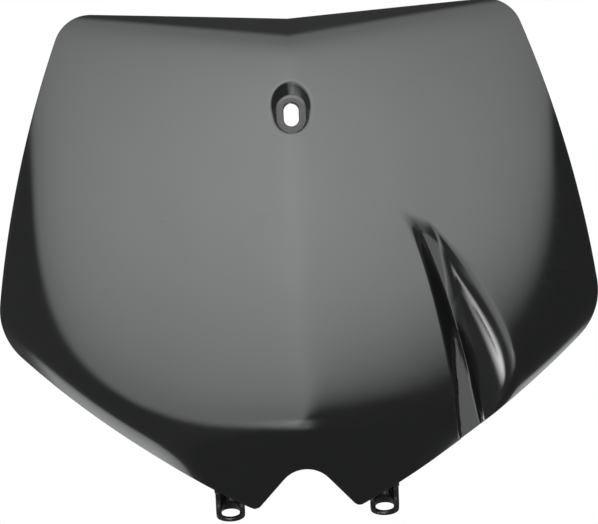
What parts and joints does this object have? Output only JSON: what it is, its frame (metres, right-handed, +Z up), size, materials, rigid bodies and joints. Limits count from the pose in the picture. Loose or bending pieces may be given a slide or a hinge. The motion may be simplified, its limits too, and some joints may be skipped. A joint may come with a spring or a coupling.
{
  "type": "motorbike number board",
  "caption": "Shield-shaped front number board in gloss black plastic, creased down the middle, with a slotted screw seat, a hose recess on one side and peg eyes under the lower edge.",
  "frame": {"origin": "middle of the fixing slot, on its washer seat in the front of the board", "axes": "+X to the right as someone facing the board sees it, +Y back through the board, +Z up along the centre crease"},
  "size_m": [0.2614, 0.0486, 0.2231],
  "materials": {
    "gloss_black_plastic": "gloss"
  },
  "bodies": {
    "root": {"number_board": "gloss_black_plastic"}
  },
  "joints": []
}
